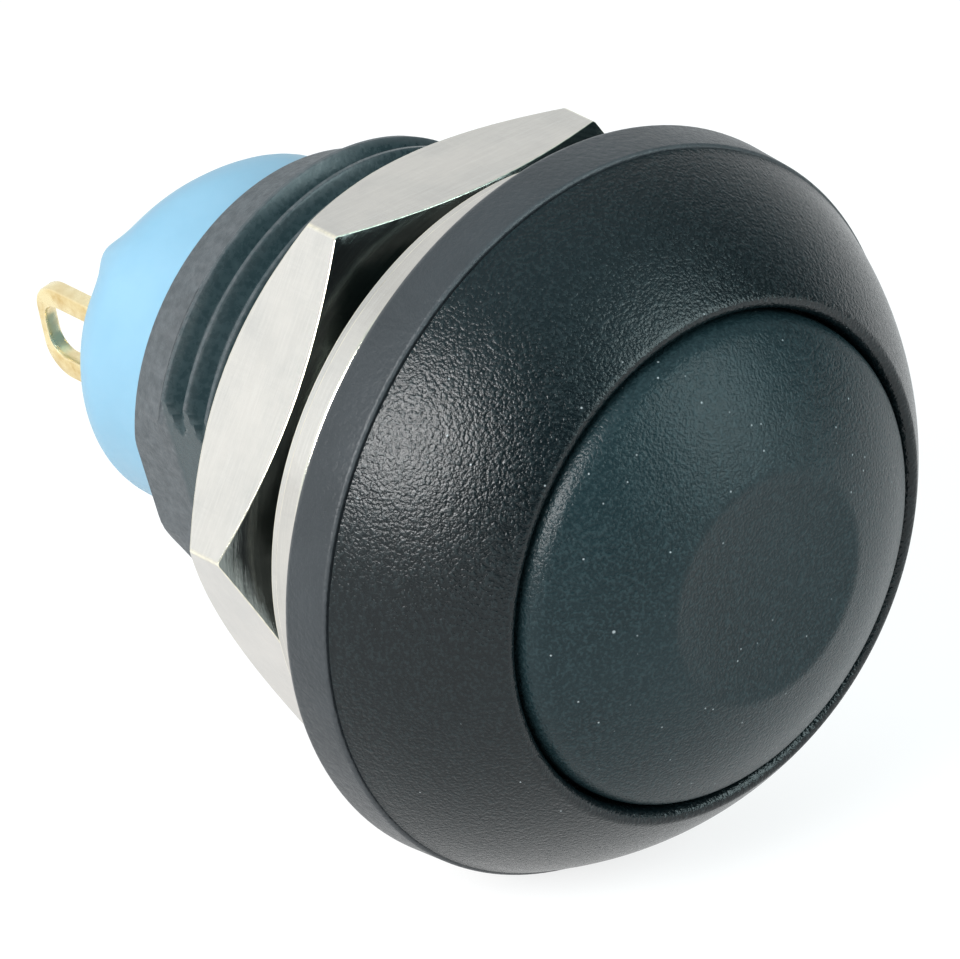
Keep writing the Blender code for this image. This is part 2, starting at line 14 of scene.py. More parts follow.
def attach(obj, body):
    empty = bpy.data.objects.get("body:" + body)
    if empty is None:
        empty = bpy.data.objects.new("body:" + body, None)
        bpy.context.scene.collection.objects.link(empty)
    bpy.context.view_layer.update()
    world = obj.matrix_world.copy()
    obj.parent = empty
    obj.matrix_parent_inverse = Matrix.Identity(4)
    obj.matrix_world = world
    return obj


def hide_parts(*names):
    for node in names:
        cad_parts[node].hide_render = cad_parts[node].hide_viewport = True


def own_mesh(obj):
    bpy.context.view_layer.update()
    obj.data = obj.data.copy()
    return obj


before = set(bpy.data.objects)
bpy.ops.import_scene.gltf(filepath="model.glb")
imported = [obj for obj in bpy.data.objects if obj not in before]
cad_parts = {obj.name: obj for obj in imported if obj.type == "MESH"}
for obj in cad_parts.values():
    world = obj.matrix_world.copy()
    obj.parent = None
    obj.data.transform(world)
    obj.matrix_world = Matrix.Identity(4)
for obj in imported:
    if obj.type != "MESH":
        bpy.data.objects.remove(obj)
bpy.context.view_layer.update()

MM = 0.001

# Head
HEAD_RADIUS = 8.98
RIM_FRONT_RADIUS = 8.90
RIM_FRONT = -1.34
RIM_FRONT_FILLET = 0.09
RIM_REAR_FILLET = 0.2
DOME_RADIUS = 9.57
DOME_CENTRE = 2.35
DOME_BASE = -1.39
DOME_BASE_RADIUS = 8.83
DOME_EDGE = 0.07
DOME_STEPS = 44
LIP_FRONT = -4.80
LIP_REAR = -4.45
LIP_STEPS = 9
LIP_SWELL = 0.045
HOLE_RADIUS = 6.05
COLLAR_RADIUS = 7.0
COLLAR_FRONT = -3.0
COLLAR_FILLET = 0.05
COLLAR_GAP = 0.05
CHAMBER_RADIUS = 6.5
CHAMBER_FLOOR = -0.8

# Button cap
CAP_RADIUS = 5.95
CAP_FACE_RADIUS = 9.50
CAP_FACE_CENTRE = 2.5
CAP_EDGE_RADIUS = 0.34
CAP_EDGE_STEPS = 7
CAP_STEPS = 60
CAP_FLANGE_RADIUS = 6.35
CAP_FLANGE_REAR = -2.5
CAP_FLANGE_FILLET = 0.06
CAP_INNER_RADIUS = 5.15
DISH_RADIUS = 2.74
DISH_FLOOR = -6.44
DISH_RISE = 0.12
DISH_BLEND = 0.012
DISH_WEAR = 0.25
DISH_WEAR_OFFSET = 0.15
DISH_WEAR_SPREAD = 0.25
ROOF = -5.1
BOSS_RADIUS = 2.35
BOSS_END = -3.3
BOSS_FILLET = 0.08
SOCKET_RADIUS = 1.55
SOCKET_FRONT = -4.9

# Threaded barrel
THREAD_RADIUS = 6.0
THREAD_PITCH = 0.75
THREAD_DEPTH = 0.45
THREAD_START = 0.3
THREAD_CHAMFER_START = 7.9
THREAD_END = 8.25
THREAD_PHASE = 0.39
BARREL_END = 9.34
BARREL_END_RADIUS = 5.22
BARREL_END_FILLET = 0.07
TAIL_RADIUS = 5.5
BORE_RADIUS = 4.45
BORE_MOUTH_FILLET = 0.12
FLAT_DISTANCE = 5.05
FLAT_ANGLE = 198.0
FLAT_WEAR = 0.1
# Closer columns where a flat meets the thread, in steps from the middle of the flat
FLAT_COLUMN_STEP = 0.45
FLAT_FIRST_COLUMN = 50
FLAT_LAST_COLUMN = 80
WEB_REAR = 1.9
SEAL_POCKET_RADIUS = 2.8
SEAL_POCKET_FLOOR = 0.9
STEM_BORE_RADIUS = 1.56

# One turn of the thread's profile: share of the pitch, share of the depth, and wear on the crest
THREAD_PROFILE = (
    (0.015, 0.0, 1.0), (0.07, 0.0, 1.0), (0.125, 0.0, 1.0), (0.145, 0.03, 0.8), (0.18, 0.116, 0.2),
    (0.31, 0.49, 0.0), (0.45, 0.899, 0.0), (0.48, 0.965, 0.0), (0.51, 1.0, 0.0), (0.63, 1.0, 0.0),
    (0.66, 0.965, 0.0), (0.69, 0.899, 0.0), (0.83, 0.49, 0.0), (0.96, 0.116, 0.2), (0.995, 0.03, 0.8),
)

# Terminals and resin
TERMINAL_ANGLE = math.radians(193.5)
SHEET_THICKNESS = 0.4
FOOT_FRONT = 6.3
FOOT_REACH = 4.0
FOOT_WIDTH = 1.8
FOOT_OVERLAP = 0.3
FOOT_CORNER = 0.1
LUG_WIDTH = 2.6
LUG_OFFSET = 2.34
LUG_TIP = 15.8
LUG_CORNER = 0.8
LUG_BEVEL = 0.07
LUG_BEVEL_MIDDLE = 0.3
EYE_WIDTH = 1.46
EYE_CORNER = 0.49
EYE_LENGTH = 2.5
EYE_MARGIN = 0.25
RESIN_FRONT = 8.55
RESIN_REAR = 12.9
RESIN_RADIUS = 4.40
RESIN_EDGE = 1.20
RESIN_SHOULDER = 0.75
RESIN_SHOULDER_ANGLE = 88.0
RESIN_SHOULDER_SPREAD = 42.0
RESIN_RINGS = 34
RESIN_EDGE_STEPS = 14
RESIN_RIPPLE = 0.03
RESIN_RIPPLE_TURN = 0.7
# The poured hump: its place in X and Z, its height and its reach
RESIN_HUMP = (-2.72, 2.30, 0.34, 0.50)
MENISCUS_HEIGHT = 0.75
MENISCUS_REACH = 0.42

# Fasteners behind the panel
RING_BORE_RADIUS = 6.15
GASKET_FRONT = 0.05
GASKET_REAR = 1.0
GASKET_RADIUS = 7.3
GASKET_INNER_FILLET = 0.08
GASKET_OUTER_FILLET = 0.18
WASHER_FRONT = 1.05
WASHER_REAR = 1.9
WASHER_RADIUS = 7.64
WASHER_DROP = 0.13
WASHER_ROLL = 0.2
WASHER_FACE_DEPTH = 0.004
LONGEST_RUN = 0.5
NUT_APOTHEM = 6.95
NUT_ANGLE = 182.7
NUT_FRONT = 2.6
NUT_REAR = 5.4
NUT_FRONT_FACE_RADIUS = 6.63
NUT_FRONT_SLOPE = 1.98
NUT_REAR_FACE_RADIUS = 6.67
NUT_REAR_SLOPE = 1.17
NUT_FACE_INNER_RADIUS = 6.2
NUT_FACE_FILLET = 0.04
NUT_FRONT_FILLET = 0.045
NUT_REAR_FILLET = 0.05
NUT_CORNER = 0.16
NUT_EDGE_WEAR = 0.1
# Shares of a flat's width where it has points, closer together at its edges
NUT_FLAT_SHARES = (0.02, 0.04, 0.2, 0.4, 0.6, 0.8, 0.96, 0.98)
# Columns round each corner, in half widths of its rounding
NUT_CORNER_COLUMNS = (-1.6, -1.0, -0.75, -0.5, -0.25, 0.0, 0.25, 0.5, 0.75, 1.0, 1.6)
NUT_CHAMFER_MARGIN = 0.03
NUT_CHAMFER_NEAR = 0.02
HEX_HALF = math.radians(30.0)
NUT_BORE_CHAMFER = 0.3
THREAD_CLEARANCE = 0.10

# Springs: mean radius, wire radius, front, rear, turns
RETURN_SPRING = (3.2, 0.2, -5.05, -1.25, 5.0)
CONTACT_SPRING = (1.2, 0.14, 2.65, 3.95, 3.5)
CLOSED_TURN_GAP = 0.02

COLUMNS = 192
SMOOTH_ANGLE = math.radians(38.0)
MERGE = 1e-7

# Camera: degrees, then millimetres
CAMERA_AZIMUTH = -42.32
CAMERA_ELEVATION = 26.58
CAMERA_DISTANCE = 428.96
CAMERA_RIGHT = -2.134
CAMERA_UP = 0.296
CAMERA_LENS = 699.7
CAMERA_SENSOR = 36.0

# Lights, in metres and watts
LIGHT_DISTANCE = 0.16
FLOOR_HALF = 1.5
FLOOR_TONE = 0.22
FLOOR_GLOW = 0.80

# The studio's brightness: along each axis, from a dim level to a bright one
STUDIO_SHADES = (("Y", -0.30, 0.40, 0.07, 1.0), ("Z", 0.55, 0.95, 0.07, 1.05))
STUDIO_PATCH_TOWARDS = (-0.74, 0.64, 0.18)
STUDIO_PATCH = (0.75, 0.97, 0.0, 0.42)
STUDIO_FRONT_TINT = (0.55, 0.90, 1.0, 1.0)
STUDIO_BACK_TINT = (0.95, 0.985, 1.0, 1.0)

# Marks on the finishes; the cream on the nut's edges is partly wear and partly a painted highlight
DUST_ON_GRAIN = (0.30, 0.33, 0.34)
DUST_ON_RIM = (0.30, 0.30, 0.29)
CREAM_WEAR_AND_HIGHLIGHT = (0.97, 0.91, 0.74)


# ---------------------------------------------------------------- outlines of (depth, radius, wear)

def rounded(corners, steps=5):
    """Turn corners of (depth, radius) or (depth, radius, fillet) into points.

    A fillet's points count as worn.
    """
    points = []
    count = len(corners)
    for index, corner in enumerate(corners):
        here = Vector(corner[:2])
        fillet = corner[2] if len(corner) > 2 else 0.0
        if fillet == 0.0:
            points.append((here.x, here.y, 0.0))
            continue
        before = (Vector(corners[index - 1][:2]) - here).normalized()
        after = (Vector(corners[(index + 1) % count][:2]) - here).normalized()
        half = before.angle(after) / 2.0
        centre = here + (before + after).normalized() * (fillet / math.sin(half))
        first = here + before * (fillet / math.tan(half)) - centre
        last = here + after * (fillet / math.tan(half)) - centre
        for step in range(steps + 1):
            share = step / steps
            spoke = first.lerp(last, share).normalized() * fillet
            points.append((*(centre + spoke), math.sin(math.pi * share)))
    return points


def subdivided(points, longest):
    """Add points along the long straight runs of a closed outline."""
    fine = []
    for index, point in enumerate(points):
        here = Vector(point)
        following = Vector(points[(index + 1) % len(points)])
        pieces = max(1, math.ceil((following - here).xy.length / longest))
        for piece in range(pieces):
            fine.append(tuple(here.lerp(following, piece / pieces)))
    return fine


def sphere_arc(centre, radius, start, end, steps):
    """Points on a sphere's outline between two depths, both included."""
    points = []
    for step in range(steps + 1):
        depth = start + (end - start) * step / steps
        points.append((depth, math.sqrt(radius ** 2 - (depth - centre) ** 2), 0.0))
    return points


def even_angles(columns=COLUMNS, start=0.0):
    """Column angles all round, the first and last being the same place."""
    return [math.radians(start) + math.tau * column / columns for column in range(columns + 1)]


def refined_angles(columns, start, places, offsets):
    """Column angles all round, with closer ones at the given offsets from each place, in degrees."""
    found = {round(math.degrees(angle) - start, 4) for angle in even_angles(columns, start)}
    for place in places:
        for offset in offsets:
            found.add(round((place + offset - start) % 360.0, 4))
    found.add(360.0)
    found.add(0.0)
    return [math.radians(start + angle) for angle in sorted(found)]


# ---------------------------------------------------------------- meshes

def closed_mesh(bm, name):
    """Merge coincident points, face everything outwards and store the mesh."""
    bmesh.ops.remove_doubles(bm, verts=bm.verts, dist=MERGE)
    bmesh.ops.recalc_face_normals(bm, faces=bm.faces)
    mesh = bpy.data.meshes.new(name)
    bm.to_mesh(mesh)
    bm.free()
    mesh.shade_smooth()
    mesh.set_sharp_from_angle(angle=SMOOTH_ANGLE)
    return mesh


def swept(name, outline_at, angles, mark=None):
    """A ring swept round the Y axis. outline_at(angle) gives the closed outline at each column.

    mark is a name and a test of (depth, radius, angle) for a second value stored on the points.
    """
    bm = bmesh.new()
    worn = bm.verts.layers.float.new("worn")
    marked = bm.verts.layers.float.new(mark[0]) if mark else None
    rows = []
    for angle in angles:
        row = []
        for depth, radius, wear in outline_at(angle):
            across = radius * MM
            vert = bm.verts.new((across * math.cos(angle), depth * MM, across * math.sin(angle)))
            vert[worn] = wear
            if mark:
                vert[marked] = mark[1](depth, radius, angle)
            row.append(vert)
        rows.append(row)
    for row, following in zip(rows, rows[1:]):
        for index in range(len(row)):
            bm.faces.new((row[index - 1], row[index], following[index], following[index - 1]))
    return closed_mesh(bm, name)


def tube(name, path, radius, sides=10):
    """A round wire along a path, closed at both ends."""
    bm = bmesh.new()
    rings = []
    count = len(path)
    for index, point in enumerate(path):
        tangent = (path[min(index + 1, count - 1)] - path[max(index - 1, 0)]).normalized()
        outward = Vector((point.x, 0.0, point.z)).normalized()
        outward = (outward - tangent * outward.dot(tangent)).normalized()
        sideways = tangent.cross(outward)
        ring = []
        for side in range(sides):
            turn = math.tau * side / sides
            offset = outward * math.cos(turn) + sideways * math.sin(turn)
            ring.append(bm.verts.new((point + offset * radius) * MM))
        rings.append(ring)
    for ring, following in zip(rings, rings[1:]):
        for side in range(sides):
            bm.faces.new((ring[side - 1], ring[side], following[side], following[side - 1]))
    bm.faces.new(rings[0])
    bm.faces.new(rings[-1])
    return closed_mesh(bm, name)


def coil_path(mean_radius, wire_radius, front, rear, turns, steps=40):
    """The centreline of a spring with a closed turn at each end."""
    first = front + wire_radius
    last = rear - wire_radius
    closed_rise = 2.0 * wire_radius + CLOSED_TURN_GAP
    open_turns = turns - 2.0
    open_rise = (last - first - 2.0 * closed_rise) / open_turns
    path = []
    for step in range(int(turns * steps) + 1):
        turn = step / steps
        depth = first + closed_rise * min(turn, 1.0)
        depth += open_rise * min(max(turn - 1.0, 0.0), open_turns)
        depth += closed_rise * max(turn - 1.0 - open_turns, 0.0)
        swing = math.tau * turn
        path.append(Vector((mean_radius * math.cos(swing), depth, mean_radius * math.sin(swing))))
    return path


def piece(name, mesh, material, body, slot, node):
    """Give a mesh its object and finish, and let it ride on its body in place of its CAD node."""
    made = bpy.data.objects.new(name, mesh)
    mesh.materials.append(material)
    bpy.context.scene.collection.objects.link(made)
    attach(made, body)
    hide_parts(node)
    return made


# ---------------------------------------------------------------- shapes

def thread_outline(start, end, angle):
    """Depths, radii and wear of the right-hand thread between two depths, following its helix."""
    shift = angle / math.tau + THREAD_PHASE
    first = math.floor(start / THREAD_PITCH)
    last = math.ceil(end / THREAD_PITCH) + 2
    points = []
    for turn in range(first, last + 1):
        for share, cut, wear in THREAD_PROFILE:
            depth = (turn + share - shift) * THREAD_PITCH
            inside = min(max(depth, start), end)
            if inside != depth:
                cut = thread_cut((inside / THREAD_PITCH + shift) % 1.0)
            points.append((inside, THREAD_RADIUS - THREAD_DEPTH * cut, wear))
    return points


def thread_cut(share):
    """How deep the thread is cut, at a share of its pitch."""
    stops = [(THREAD_PROFILE[-1][0] - 1.0, THREAD_PROFILE[-1][1])]
    stops += [(stop[0], stop[1]) for stop in THREAD_PROFILE]
    stops.append((THREAD_PROFILE[0][0] + 1.0, THREAD_PROFILE[0][1]))
    for (low, cut_low), (high, cut_high) in zip(stops, stops[1:]):
        if low <= share <= high:
            return cut_low + (cut_high - cut_low) * (share - low) / (high - low)
    return 0.0


def housing_mesh():
    """Rim, collar and chamber in front, threaded barrel with two flats and an open bore behind."""
    front = rounded([
        (COLLAR_FRONT, CHAMBER_RADIUS), (COLLAR_FRONT, COLLAR_RADIUS, COLLAR_FILLET),
        (RIM_FRONT, COLLAR_RADIUS), (RIM_FRONT, RIM_FRONT_RADIUS, RIM_FRONT_FILLET),
        (0.0, HEAD_RADIUS, RIM_REAR_FILLET), (0.0, THREAD_RADIUS - THREAD_DEPTH),
    ])
    bore = [(point[0], point[1], 0.0) for point in (
        (WEB_REAR, BORE_RADIUS), (WEB_REAR, STEM_BORE_RADIUS),
        (SEAL_POCKET_FLOOR, STEM_BORE_RADIUS), (SEAL_POCKET_FLOOR, SEAL_POCKET_RADIUS),
        (CHAMBER_FLOOR, SEAL_POCKET_RADIUS), (CHAMBER_FLOOR, CHAMBER_RADIUS))]
    tail = rounded([
        (THREAD_END, TAIL_RADIUS), (BARREL_END, BARREL_END_RADIUS, BARREL_END_FILLET),
        (BARREL_END, BORE_RADIUS, BORE_MOUTH_FILLET), (WEB_REAR, BORE_RADIUS),
    ])[:-1]
    slope = (THREAD_RADIUS - TAIL_RADIUS) / (THREAD_END - THREAD_CHAMFER_START)

    def outline_at(angle):
        barrel = [(THREAD_START, THREAD_RADIUS - THREAD_DEPTH, 0.0)]
        for depth, radius, wear in thread_outline(THREAD_START, THREAD_END, angle):
            cone = THREAD_RADIUS - slope * max(depth - THREAD_CHAMFER_START, 0.0)
            barrel.append((depth, min(radius, cone), wear))
        across = abs(math.cos(angle - math.radians(FLAT_ANGLE)))
        limit = FLAT_DISTANCE / across if across * THREAD_RADIUS > FLAT_DISTANCE else THREAD_RADIUS
        cut = []
        for depth, radius, wear in front[-1:] + barrel + tail:
            cut.append((depth, min(radius, limit), wear if radius <= limit else FLAT_WEAR))
        return front[:-1] + cut + bore

    closer = range(FLAT_FIRST_COLUMN, FLAT_LAST_COLUMN + 1)
    offsets = [side * step * FLAT_COLUMN_STEP for side in (-1, 1) for step in closer]
    angles = refined_angles(COLUMNS, 0.0, (FLAT_ANGLE, FLAT_ANGLE - 180.0), offsets)
    return swept("housing_shell", outline_at, angles)


def dome_mesh():
    """The domed ring, with a rounded lip round the cap's hole."""
    shoulder = COLLAR_FRONT - COLLAR_GAP
    dome = sphere_arc(DOME_CENTRE, DOME_RADIUS, DOME_BASE - DOME_EDGE, LIP_FRONT + 0.03, DOME_STEPS)
    lip_start = dome[-1]
    lip = []
    for step in range(1, LIP_STEPS + 1):
        share = step / LIP_STEPS
        swing = share * math.pi / 2.0
        swell = LIP_SWELL * math.sin(min(swing * 2.0, math.pi))
        depth = lip_start[0] - swell + (LIP_REAR - lip_start[0]) * (1.0 - math.cos(swing))
        radius = lip_start[1] + (HOLE_RADIUS - lip_start[1]) * math.sin(swing)
        lip.append((depth, radius, math.sin(math.pi * share)))
    inside = [(shoulder, HOLE_RADIUS, 0.0), (shoulder, COLLAR_RADIUS + COLLAR_GAP, 0.0),
              (DOME_BASE, COLLAR_RADIUS + COLLAR_GAP, 0.0)]
    outline = [(DOME_BASE, DOME_BASE_RADIUS - DOME_EDGE, 0.3),
               (DOME_BASE - 0.02, DOME_BASE_RADIUS - 0.02, 0.6)]
    outline += dome + lip + inside
    return swept("dome_ring", lambda angle: outline, even_angles())


def cap_depth(radius):
    """The depth of the cap's face: a dome with a shallow dish that blends into it."""
    dome = CAP_FACE_CENTRE - math.sqrt(CAP_FACE_RADIUS ** 2 - radius ** 2)
    dish = DISH_FLOOR - DISH_RISE * (radius / DISH_RADIUS) ** 2
    gap = (dish - dome) / DISH_BLEND
    if gap > 30.0:
        return dish
    if gap < -30.0:
        return dome
    return dome + DISH_BLEND * math.log(1.0 + math.exp(gap))


def cap_mesh():
    """The domed cap with its dish, skirt, retaining flange and the socket for the stem."""
    edge_radius = CAP_RADIUS - CAP_EDGE_RADIUS
    face = []
    for step in range(CAP_STEPS + 1):
        radius = edge_radius * step / CAP_STEPS
        near_dish = math.exp(-((radius - DISH_RADIUS - DISH_WEAR_OFFSET) / DISH_WEAR_SPREAD) ** 2)
        face.append((cap_depth(radius), radius, DISH_WEAR * near_dish))
    edge_depth = face[-1][0]
    slope = math.asin(edge_radius / CAP_FACE_RADIUS)
    reach = 1.0 - math.sin(slope)
    skirt = []
    for step in range(1, CAP_EDGE_STEPS + 1):
        turn = slope + (math.pi / 2.0 - slope) * step / CAP_EDGE_STEPS
        radius = edge_radius + CAP_EDGE_RADIUS * (math.sin(turn) - math.sin(slope)) / reach
        depth = edge_depth + CAP_EDGE_RADIUS * (math.cos(slope) - math.cos(turn)) / reach
        skirt.append((depth, radius, math.sin(math.pi * step / (CAP_EDGE_STEPS + 1))))
    rear = rounded([
        (COLLAR_FRONT, CAP_RADIUS), (COLLAR_FRONT, CAP_FLANGE_RADIUS, CAP_FLANGE_FILLET),
        (CAP_FLANGE_REAR, CAP_FLANGE_RADIUS, CAP_FLANGE_FILLET),
        (CAP_FLANGE_REAR, CAP_INNER_RADIUS, BOSS_FILLET),
        (ROOF, CAP_INNER_RADIUS), (ROOF, BOSS_RADIUS), (BOSS_END, BOSS_RADIUS, BOSS_FILLET),
        (BOSS_END, SOCKET_RADIUS), (SOCKET_FRONT, SOCKET_RADIUS), (SOCKET_FRONT, 0.0),
    ])
    outline = face + skirt + rear
    return swept("press_cap", lambda angle: outline, even_angles())


def nut_mesh():
    """The hexagonal nut: six flats cut back by a cone at each end, rounded corners and a threaded bore."""
    corner_distance = NUT_APOTHEM / math.cos(HEX_HALF)
    round_centre = corner_distance - NUT_CORNER / math.cos(HEX_HALF)
    setback = NUT_CORNER * math.tan(HEX_HALF)
    round_half = math.degrees(math.atan2(
        setback * math.cos(HEX_HALF), corner_distance - setback * math.sin(HEX_HALF)))

    def outline_at(angle):
        from_corner = (math.degrees(angle) - NUT_ANGLE + 30.0) % 60.0 - 30.0
        wear = 0.0
        if abs(from_corner) < round_half:
            swing = math.radians(from_corner)
            reach = NUT_CORNER ** 2 - (round_centre * math.sin(swing)) ** 2
            across = round_centre * math.cos(swing) + math.sqrt(reach)
            wear = 1.0 - abs(from_corner) / round_half
        else:
            across = NUT_APOTHEM / math.cos(math.radians(30.0 - abs(from_corner)))
        front_edge = NUT_FRONT + (across - NUT_FRONT_FACE_RADIUS) / NUT_FRONT_SLOPE
        rear_edge = NUT_REAR - (across - NUT_REAR_FACE_RADIUS) / NUT_REAR_SLOPE
        outside = rounded([
            (NUT_FRONT, NUT_FACE_INNER_RADIUS), (NUT_FRONT, NUT_FRONT_FACE_RADIUS, NUT_FACE_FILLET),
            (front_edge, across, NUT_FRONT_FILLET), (rear_edge, across, NUT_REAR_FILLET),
            (NUT_REAR, NUT_REAR_FACE_RADIUS, NUT_FACE_FILLET), (NUT_REAR, NUT_FACE_INNER_RADIUS),
        ], steps=4)[1:-1]
        outside = [(depth, radius, max(own, wear if front_edge < depth < rear_edge else 0.0))
                   for depth, radius, own in outside]
        middle = (front_edge + rear_edge) / 2.0
        rear_start = next(index for index, point in enumerate(outside) if point[0] > middle)
        first, last = Vector(outside[rear_start - 1]), Vector(outside[rear_start])
        flat = []
        for share in NUT_FLAT_SHARES:
            own = 0.0 if NUT_FLAT_SHARES[0] < share < NUT_FLAT_SHARES[-1] else NUT_EDGE_WEAR
            flat.append((*first.lerp(last, share).xy, max(wear, own)))
        outside = outside[:rear_start] + flat + outside[rear_start:]
        bore = []
        for depth, radius, _ in thread_outline(NUT_FRONT, NUT_REAR, angle):
            nearest_face = min(depth - NUT_FRONT, NUT_REAR - depth)
            chamfer = THREAD_RADIUS + NUT_BORE_CHAMFER - nearest_face
            bore.append((depth, max(radius + THREAD_CLEARANCE, chamfer), 0.0))
        return outside + bore[::-1]

    # The nickel finish paints the marked chamfers dark, as a painted reflection
    def on_chamfer(depth, radius, angle):
        front_cone = NUT_FRONT_FACE_RADIUS + (depth - NUT_FRONT) * NUT_FRONT_SLOPE
        rear_cone = NUT_REAR_FACE_RADIUS + (NUT_REAR - depth) * NUT_REAR_SLOPE
        outside = radius > NUT_FRONT_FACE_RADIUS - NUT_CHAMFER_MARGIN
        return 1.0 if outside and abs(radius - min(front_cone, rear_cone)) < NUT_CHAMFER_NEAR else 0.0

    offsets = [round_half * share for share in NUT_CORNER_COLUMNS]
    corners = [NUT_ANGLE + 60.0 * index for index in range(6)]
    return swept("hexagon_nut", outline_at, refined_angles(COLUMNS, NUT_ANGLE, corners, offsets),
                 ("turned", on_chamfer))


def washer_mesh():
    """The flat plated washer, with the slight roll-over of a stamped edge."""
    outline = subdivided(rounded([
        (WASHER_FRONT, RING_BORE_RADIUS, 0.08), (WASHER_FRONT, WASHER_RADIUS, WASHER_ROLL),
        (WASHER_REAR - WASHER_ROLL, WASHER_RADIUS, 0.04), (WASHER_REAR - 0.17, WASHER_RADIUS - 0.05, 0.02),
        (WASHER_REAR - 0.03, WASHER_RADIUS - 0.02, 0.03), (WASHER_REAR, WASHER_RADIUS - 0.06, 0.02),
        (WASHER_REAR, RING_BORE_RADIUS, 0.05),
    ]), LONGEST_RUN)

    # Marks the rear face for the nickel finish's painted shade
    def on_rear_face(depth, radius, angle):
        return 1.0 if depth > WASHER_REAR - WASHER_FACE_DEPTH else 0.0

    mesh = swept("plated_washer", lambda angle: outline, even_angles(), ("painted_shade", on_rear_face))
    mesh.transform(Matrix.Translation((0.0, 0.0, -WASHER_DROP * MM)))
    return mesh


def gasket_mesh():
    """The flat rubber ring under the head."""
    outline = subdivided(rounded([
        (GASKET_FRONT, RING_BORE_RADIUS, GASKET_INNER_FILLET),
        (GASKET_FRONT, GASKET_RADIUS, GASKET_OUTER_FILLET),
        (GASKET_REAR, GASKET_RADIUS, GASKET_OUTER_FILLET),
        (GASKET_REAR, RING_BORE_RADIUS, GASKET_INNER_FILLET),
    ]), LONGEST_RUN)
    return swept("rubber_gasket", lambda angle: outline, even_angles())


def blade_distance(x, z, half_width):
    """How far a point of the resin's face is from the nearer terminal blade."""
    along = x * math.cos(TERMINAL_ANGLE) + z * math.sin(TERMINAL_ANGLE)
    sideways = -x * math.sin(TERMINAL_ANGLE) + z * math.cos(TERMINAL_ANGLE)
    out = max(abs(abs(along) - LUG_OFFSET) - SHEET_THICKNESS / 2.0, 0.0)
    side = max(abs(sideways) - half_width, 0.0)
    return math.hypot(out, side)


def resin_mesh():
    """The cast plug: a rounded rear edge, a poured hump, and resin drawn up round each blade."""
    hump_x, hump_z, hump_height, hump_reach = RESIN_HUMP

    def outline_at(angle):
        turned = (math.degrees(angle) - RESIN_SHOULDER_ANGLE + 180.0) % 360.0 - 180.0
        edge = RESIN_EDGE + RESIN_SHOULDER * math.exp(-(turned / RESIN_SHOULDER_SPREAD) ** 2)
        rear = [(RESIN_REAR, (RESIN_RADIUS - edge) * ring / RESIN_RINGS) for ring in range(RESIN_RINGS + 1)]
        for step in range(1, RESIN_EDGE_STEPS + 1):
            swing = math.pi / 2.0 * step / RESIN_EDGE_STEPS
            inwards = edge * (1.0 - math.sin(swing))
            rear.append((RESIN_REAR - edge * (1.0 - math.cos(swing)), RESIN_RADIUS - inwards))
        lifted = []
        for depth, radius in rear:
            x, z = radius * math.cos(angle), radius * math.sin(angle)
            climb = MENISCUS_HEIGHT * math.exp(-blade_distance(x, z, LUG_WIDTH / 2.0) / MENISCUS_REACH)
            away = math.hypot(x - hump_x, z - hump_z)
            hump = hump_height * math.exp(-(away / hump_reach) ** 2)
            ripple = RESIN_RIPPLE * math.sin(3.0 * angle + RESIN_RIPPLE_TURN) * (radius / RESIN_RADIUS) ** 2
            lifted.append((depth + climb + hump + ripple, radius, 0.0))
        return [(RESIN_FRONT, 0.0, 0.0), (RESIN_FRONT, RESIN_RADIUS, 0.0)] + lifted[::-1]

    return swept("resin_plug", outline_at, even_angles())


def plate_loop(corners, steps):
    """A closed loop of (depth, width) points with its corners rounded."""
    return [(point[0], point[1]) for point in rounded(corners, steps)]


def rectangle_loop(middle, half_length, half_width, fillet, steps):
    """The loop of a rectangle with rounded corners, long in depth."""
    corners = []
    for along, across in ((-1, -1), (-1, 1), (1, 1), (1, -1)):
        corners.append((middle + along * half_length, across * half_width, fillet))
    return plate_loop(corners, steps)


def plate_ring(bm, loop, side):
    """Points of a loop at one distance from the axis plane."""
    return [bm.verts.new((side * MM, depth * MM, width * MM)) for depth, width in loop]


def offset_loop(loop, distance):
    """A loop moved inwards by a distance, keeping its number of points."""
    moved = []
    count = len(loop)
    for index, point in enumerate(loop):
        before = Vector(loop[index - 1])
        after = Vector(loop[(index + 1) % count])
        direction = (after - before).normalized()
        inward = Vector((-direction.y, direction.x))
        moved.append(tuple(Vector(point) + inward * distance))
    return moved


def loop_area(loop):
    """Signed area of a loop."""
    total = 0.0
    for index, point in enumerate(loop):
        before = loop[index - 1]
        total += before[0] * point[1] - point[0] * before[1]
    return total / 2.0


